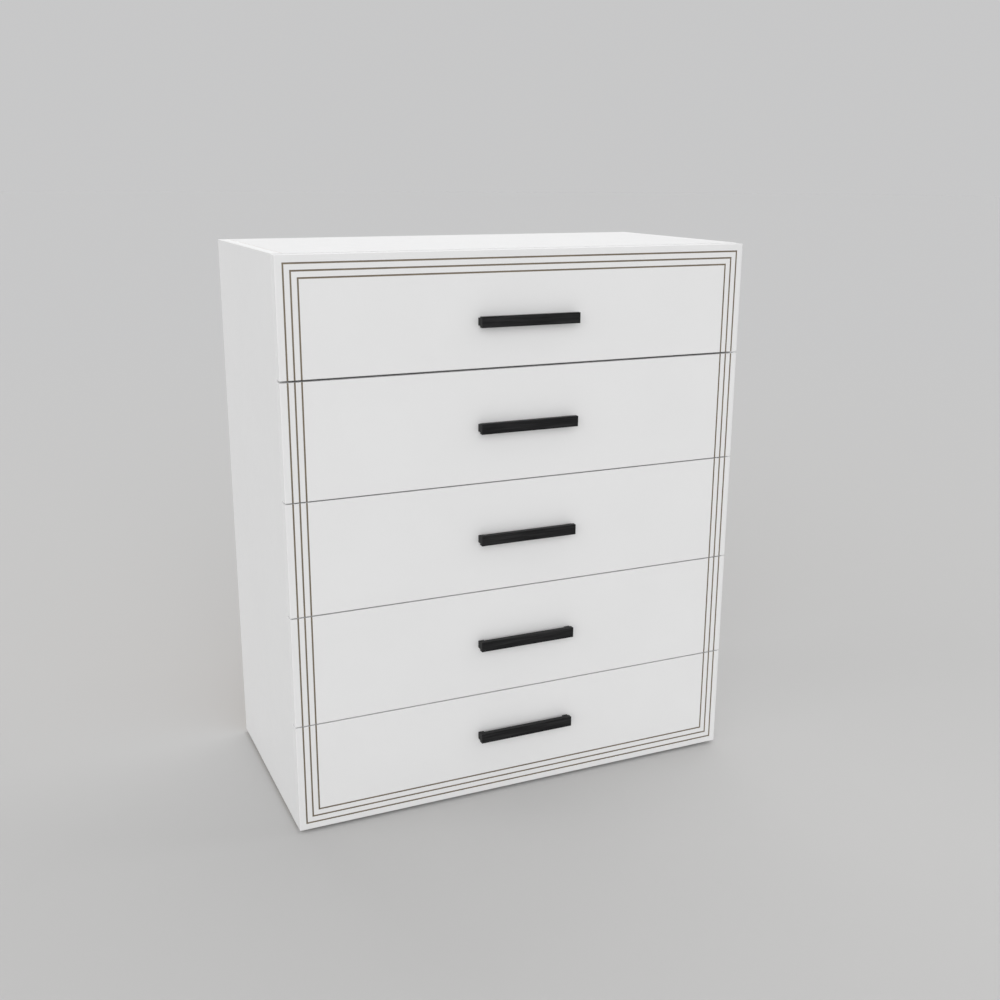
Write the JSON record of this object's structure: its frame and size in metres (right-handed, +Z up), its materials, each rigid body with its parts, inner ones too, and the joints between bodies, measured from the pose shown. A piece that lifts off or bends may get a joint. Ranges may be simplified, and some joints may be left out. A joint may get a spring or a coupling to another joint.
{
  "type": "tall chest of drawers",
  "caption": "Tall white chest with full-width overlay drawers on roller runners, black bar handles, and fine lines cut in a frame round the whole front.",
  "frame": {"origin": "on the floor, under the middle of the box that holds the chest with its handles", "axes": "+Z up; the drawer fronts face -Y, so a drawer opens along -Y; +X is on the right of someone who faces the fronts"},
  "size_m": [0.8, 0.417, 0.927],
  "materials": {
    "white_board": "white melamine-faced particle board, satin, with white edge band",
    "thin_board": "thin hardboard, white lacquer on the face",
    "black_handle": "matt black powder coat",
    "runner_steel": "white epoxy on rolled steel, with nylon rollers",
    "grey_plastic": "moulded, matt"
  },
  "bodies": {
    "carcass": {"side_panel_left": "white_board", "side_panel_right": "white_board", "top_panel": "white_board", "bottom_panel": "white_board", "back_panel": "thin_board", "glide_front_left": "grey_plastic", "glide_front_right": "grey_plastic", "glide_rear_left": "grey_plastic", "glide_rear_right": "grey_plastic", "glide_centre": "grey_plastic", "cabinet_runner_1_left": "runner_steel", "cabinet_runner_1_right": "runner_steel", "cabinet_runner_2_left": "runner_steel", "cabinet_runner_2_right": "runner_steel", "cabinet_runner_3_left": "runner_steel", "cabinet_runner_3_right": "runner_steel", "cabinet_runner_4_left": "runner_steel", "cabinet_runner_4_right": "runner_steel", "cabinet_runner_5_left": "runner_steel", "cabinet_runner_5_right": "runner_steel"},
    "drawer_1": {"drawer_1_front": "white_board", "drawer_1_handle": "black_handle", "drawer_1_side_left": "white_board", "drawer_1_side_right": "white_board", "drawer_1_back": "white_board", "drawer_1_bottom": "thin_board", "drawer_1_runner_left": "runner_steel", "drawer_1_runner_right": "runner_steel"},
    "drawer_2": {"drawer_2_front": "white_board", "drawer_2_handle": "black_handle", "drawer_2_side_left": "white_board", "drawer_2_side_right": "white_board", "drawer_2_back": "white_board", "drawer_2_bottom": "thin_board", "drawer_2_runner_left": "runner_steel", "drawer_2_runner_right": "runner_steel"},
    "drawer_3": {"drawer_3_front": "white_board", "drawer_3_handle": "black_handle", "drawer_3_side_left": "white_board", "drawer_3_side_right": "white_board", "drawer_3_back": "white_board", "drawer_3_bottom": "thin_board", "drawer_3_runner_left": "runner_steel", "drawer_3_runner_right": "runner_steel"},
    "drawer_4": {"drawer_4_front": "white_board", "drawer_4_handle": "black_handle", "drawer_4_side_left": "white_board", "drawer_4_side_right": "white_board", "drawer_4_back": "white_board", "drawer_4_bottom": "thin_board", "drawer_4_runner_left": "runner_steel", "drawer_4_runner_right": "runner_steel"},
    "drawer_5": {"drawer_5_front": "white_board", "drawer_5_handle": "black_handle", "drawer_5_side_left": "white_board", "drawer_5_side_right": "white_board", "drawer_5_back": "white_board", "drawer_5_bottom": "thin_board", "drawer_5_runner_left": "runner_steel", "drawer_5_runner_right": "runner_steel"}
  },
  "joints": [
    {"name": "drawer_1_slide", "type": "slide", "parent": "carcass", "child": "drawer_1", "axis": [0, -1, 0], "range_m": [0, 0.262]},
    {"name": "drawer_2_slide", "type": "slide", "parent": "carcass", "child": "drawer_2", "axis": [0, -1, 0], "range_m": [0, 0.262]},
    {"name": "drawer_3_slide", "type": "slide", "parent": "carcass", "child": "drawer_3", "axis": [0, -1, 0], "range_m": [0, 0.262]},
    {"name": "drawer_4_slide", "type": "slide", "parent": "carcass", "child": "drawer_4", "axis": [0, -1, 0], "range_m": [0, 0.262]},
    {"name": "drawer_5_slide", "type": "slide", "parent": "carcass", "child": "drawer_5", "axis": [0, -1, 0], "range_m": [0, 0.262]}
  ]
}
